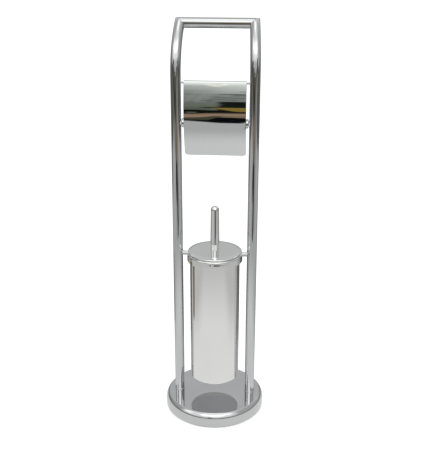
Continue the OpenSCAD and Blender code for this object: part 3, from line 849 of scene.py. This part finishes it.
def sky_tone(az, el):
    """Radiance of the studio round and above the stand."""
    side = np.abs(az)
    high = 0.95 + 0.8 * ease(26, 36, el) - 0.6 * ease(46, 58, el) + 0.4 * ease(68, 80, el)
    low = 0.52 + 0.18 * ease(0, 10, el) + 0.40 * ease(16, 24, el)
    low = low * (1 - (0.75 - 0.75 * ease(5, 12, el)) * ease(14, 26, side))
    front = np.maximum(low, high * ease(20, 26, el))
    tone = front[..., None] * np.array((0.99, 1.0, 0.985))
    # walls to the sides and behind
    right = ease(40, 70, az) * (1 - ease(120, 145, az))
    wall = 0.46 + 0.06 * ease(24, 40, el) + 0.24 * ease(42, 62, el)
    tone = over(tone, wall[..., None] * (1 - 0.55 * ease(10, 3, el))[..., None], right * (1 - ease(60, 88, el)))
    left = ease(-66, -84, az) * (1 - ease(120, 145, side))
    wall = 0.33 + 0.12 * ease(8, 25, el) + 0.10 * ease(32, 50, el)
    tone = over(tone, wall[..., None] * (1 - 0.55 * ease(10, 3, el))[..., None], left * (1 - ease(56, 84, el)))
    tone = over(tone, 0.62, within(-90, -34, 20, az) * within(40, 66, 16, el) * 0.6)
    wall = 0.40 + 0.12 * ease(10, 20, el) + 0.05 * ease(24, 33, el) - 0.08 * ease(40, 60, el)
    tone = over(tone, wall[..., None] * np.array((0.985, 0.99, 1.0)), ease(120, 150, side) * (1 - ease(76, 90, el)))
    # what the hinged cover shows: a dim wall with long shapes, and a short row of lamps
    strip = within(-11, 0.6, 2.0, az)
    along = (az + 6.6) / 4.2
    wall = 0.23 + 0.07 * ease(2, 9, el) + 0.13 * ease(9, 14, el) + 0.12 * ease(13, 18, el) + 0.12 * ease(17, 21.5, el)
    wall = wall + (0.13 * ease(9, 15, el) + 0.02) * (np.clip(along, -0.2, 1.2) - 0.4) * 1.3
    wall = wall - 0.05 * ease(5, 1, el) * (1 - ease(0.2, 0.5, along))
    tone = over(tone, wall[..., None] * np.array((0.96, 1.0, 0.955)), strip * (1 - ease(21, 25, el)))
    for a0, a1, e0, e1, lean, soft, shade, share in (
            (-0.2, 0.42, 14.6, 16.6, -1.0, 0.9, 0.27, 0.45), (-0.2, 0.5, 10.2, 12.4, 0.5, 0.8, 0.20, 0.55),
            (0.1, 0.62, 8.1, 9.2, 1.6, 0.6, 0.16, 0.6), (0.24, 0.46, 3.1, 4.9, 0.0, 0.7, 0.075, 0.8),
            (0.22, 0.9, 5.3, 6.1, 2.4, 0.5, 0.10, 0.8), (-0.1, 0.3, 6.2, 7.0, -1.0, 0.5, 0.17, 0.5),
            (-0.2, 0.5, 1.0, 2.0, 1.0, 0.6, 0.13, 0.5), (0.22, 0.5, -1.2, 0.2, 1.0, 0.8, 0.12, 0.6),
            (0.56, 1.2, 10.9, 11.9, -2.2, 0.5, 0.085, 0.9), (0.80, 1.2, 9.4, 10.3, -1.8, 0.4, 0.03, 0.95),
            (0.5, 1.2, 7.3, 8.2, 1.2, 0.5, 0.10, 0.85), (0.92, 1.08, 14.7, 15.5, 0.0, 0.4, 0.13, 0.8),
            (0.58, 1.4, -4.2, 2.9, 0.0, 0.7, 0.010, 1.0)):
        lift = el + lean * (along - 0.6) - 2.2 * ease(0.78, 0.55, along) * (e0 < -2) * -1.0 * ease(4, -2, el)
        shape = within(a0, a1, 0.1, along) * within(e0, e1, soft, lift)
        tone = over(tone, (shade * 0.97, shade * 1.08, shade * 0.9), shape * share * strip)
    tone = over(tone, (0.25, 0.275, 0.22), strip * within(0.46, 0.66, 0.1, along - 0.05 * (el - 1)) * within(-4, 0.2, 1.0, el + 2.5 * (along - 0.5)))
    for centre, width, share in ((0.30, 0.07, 0.45), (0.44, 0.04, 0.4), (0.12, 0.05, 0.3)):
        band = np.exp(-((along - centre - 0.012 * (el - 12)) / width) ** 2) * within(1, 21, 5, el)
        tone = over(tone, (0.46, 0.475, 0.46), band * share * strip)
    for a, e, size in ((0.30, 23.6, 0.05), (0.42, 22.0, 0.055), (0.52, 21.6, 0.05), (0.62, 23.2, 0.06)):
        lamp = np.exp(-((along - a) / size) ** 2 - ((el - e) / 0.7) ** 2)
        tone = over(tone, (1.5, 1.45, 1.22), lamp * 0.9 * strip)
    return tone


def painted(name, points, rows, columns, tones, share=None):
    """A grid of points that glows with the tones given, seen in reflections only; a share
    below one lets what is behind show through."""
    faces = [(i * columns + j, i * columns + j + 1, (i + 1) * columns + j + 1, (i + 1) * columns + j)
             for i in range(rows - 1) for j in range(columns - 1)]
    mesh = bpy.data.meshes.new(name)
    mesh.from_pydata(points.reshape(-1, 3).tolist(), [], faces)
    layer = mesh.attributes.new("tone", "FLOAT_COLOR", "POINT")
    alpha = np.ones(tones.shape[:-1]) if share is None else share
    layer.data.foreach_set("color", np.concatenate([tones, alpha[..., None]], -1).ravel())
    m = bpy.data.materials.new(name)
    m.use_nodes = True
    t = m.node_tree
    t.nodes.clear()
    out = t.nodes.new("ShaderNodeOutputMaterial")
    e = t.nodes.new("ShaderNodeEmission")
    tone = t.nodes.new("ShaderNodeAttribute")
    tone.attribute_name = "tone"
    t.links.new(tone.outputs["Color"], e.inputs["Color"])
    if share is None:
        t.links.new(e.outputs[0], out.inputs[0])
    else:
        clear = t.nodes.new("ShaderNodeBsdfTransparent")
        mix = t.nodes.new("ShaderNodeMixShader")
        t.links.new(tone.outputs["Alpha"], mix.inputs["Fac"])
        t.links.new(clear.outputs[0], mix.inputs[1])
        t.links.new(e.outputs[0], mix.inputs[2])
        t.links.new(mix.outputs[0], out.inputs[0])
    m.cycles.emission_sampling = "NONE"
    mesh.materials.append(m)
    obj = bpy.data.objects.new(name, mesh)
    BG.collection.objects.link(obj)
    obj.visible_camera = obj.visible_shadow = obj.visible_diffuse = False
    return obj


AZ = np.unique(np.round(np.concatenate([np.arange(-180, 181, 3), np.arange(-126, 61, 1), np.arange(-12, 4, 0.15)]), 3))
RADII = np.concatenate([np.arange(0, 0.4, 0.05), np.arange(0.4, 3.6, 0.02), np.arange(3.6, 10, 0.12),
                        np.arange(10, 61, 2)])
az_grid, r_grid = np.meshgrid(AZ, RADII)
ground = np.stack([r_grid * np.sin(np.radians(az_grid)), -r_grid * np.cos(np.radians(az_grid)),
                   np.full_like(r_grid, -0.0002)], -1)
painted("painted_floor", ground, *r_grid.shape, floor_tone(az_grid, r_grid))
HEIGHTS = np.concatenate([np.arange(-3, 28, 0.3), np.arange(28, 91, 2)])
az_grid, el_grid = np.meshgrid(AZ, HEIGHTS)
flat = np.cos(np.radians(el_grid)) * 60
dome = np.stack([flat * np.sin(np.radians(az_grid)), -flat * np.cos(np.radians(az_grid)),
                 60 * np.sin(np.radians(el_grid))], -1)
painted("painted_surround", dome, *el_grid.shape, sky_tone(az_grid, el_grid))


def card(name, x, reach, turn, heights, shade, edge=(3.0, 0.012)):
    """A dark card on an arc round the upright line at x, with soft edges. It glows dim and is seen in reflections
    only, so it paints dark reflections into the chrome.
    """
    turns, rise = np.meshgrid(np.linspace(*turn, 41), np.linspace(*heights, 21))
    arc = np.stack([x + reach * np.sin(np.radians(turns)), -reach * np.cos(np.radians(turns)), rise], -1)
    share = ease(turn[0], turn[0] + edge[0], turns) * ease(turn[1], turn[1] - edge[0], turns)
    share = share * ease(heights[0], heights[0] + edge[1], rise) * ease(heights[1], heights[1] - edge[1], rise)
    painted(name, arc, *rise.shape, shade * np.ones(rise.shape + (3,)) * np.array((1.0, 1.0, 0.94)), share)


# painted dark reflections: these cards are seen only in the chrome, where they lay dark patches into what it reflects
card("left_near_card", -0.0725, 0.25, (-62, -27), (0.655, 0.80), 0.08, (9.0, 0.03))
card("right_near_card", 0.0725, 0.25, (28, 56), (0.665, 0.83), 0.08, (8.0, 0.035))
card("left_far_card", 0, 1.6, (-56, -24), (0.93, 1.17), 0.30, (8.0, 0.06))
card("right_far_card", 0, 1.6, (24, 56), (0.93, 1.17), 0.30, (8.0, 0.06))
card("low_left_card", 0, 0.97, (-17, -11), (-0.001, 0.10), 0.04, (2.0, 0.004))
card("low_right_card", 0, 0.97, (1.3, 22), (-0.001, 0.10), 0.03, (0.4, 0.004))

# ---- the floor and background that the camera sees

floor_material, t, bsdf = new_material("pale_floor")
bsdf.inputs["Base Color"].default_value = (0.9, 0.9, 0.9, 1)
bsdf.inputs["Roughness"].default_value = 0.9
bsdf.inputs["Specular IOR Level"].default_value = 0.0
bsdf.inputs["Emission Color"].default_value = (1, 1, 1, 1)
bsdf.inputs["Emission Strength"].default_value = 0.55
sheet_of("floor", [(-40, -40, 0), (40, -40, 0), (40, 40, 0), (-40, 40, 0)], floor_material, seen=True)
bpy.data.objects["floor"].visible_glossy = False

world = bpy.data.worlds.new("studio")
BG.world = world
world.use_nodes = True
t = world.node_tree
t.nodes.clear()
out = t.nodes.new("ShaderNodeOutputWorld")
plain = t.nodes.new("ShaderNodeBackground")
plain.inputs["Strength"].default_value = 1.05
soft = t.nodes.new("ShaderNodeBackground")
mix = t.nodes.new("ShaderNodeMixShader")
path = t.nodes.new("ShaderNodeLightPath")
t.links.new(path.outputs["Is Camera Ray"], mix.inputs["Fac"])
t.links.new(soft.outputs[0], mix.inputs[1])
t.links.new(plain.outputs[0], mix.inputs[2])
t.links.new(mix.outputs[0], out.inputs[0])
soft.inputs["Color"].default_value = (0.8, 0.81, 0.82, 1)
soft.inputs["Strength"].default_value = 0.9
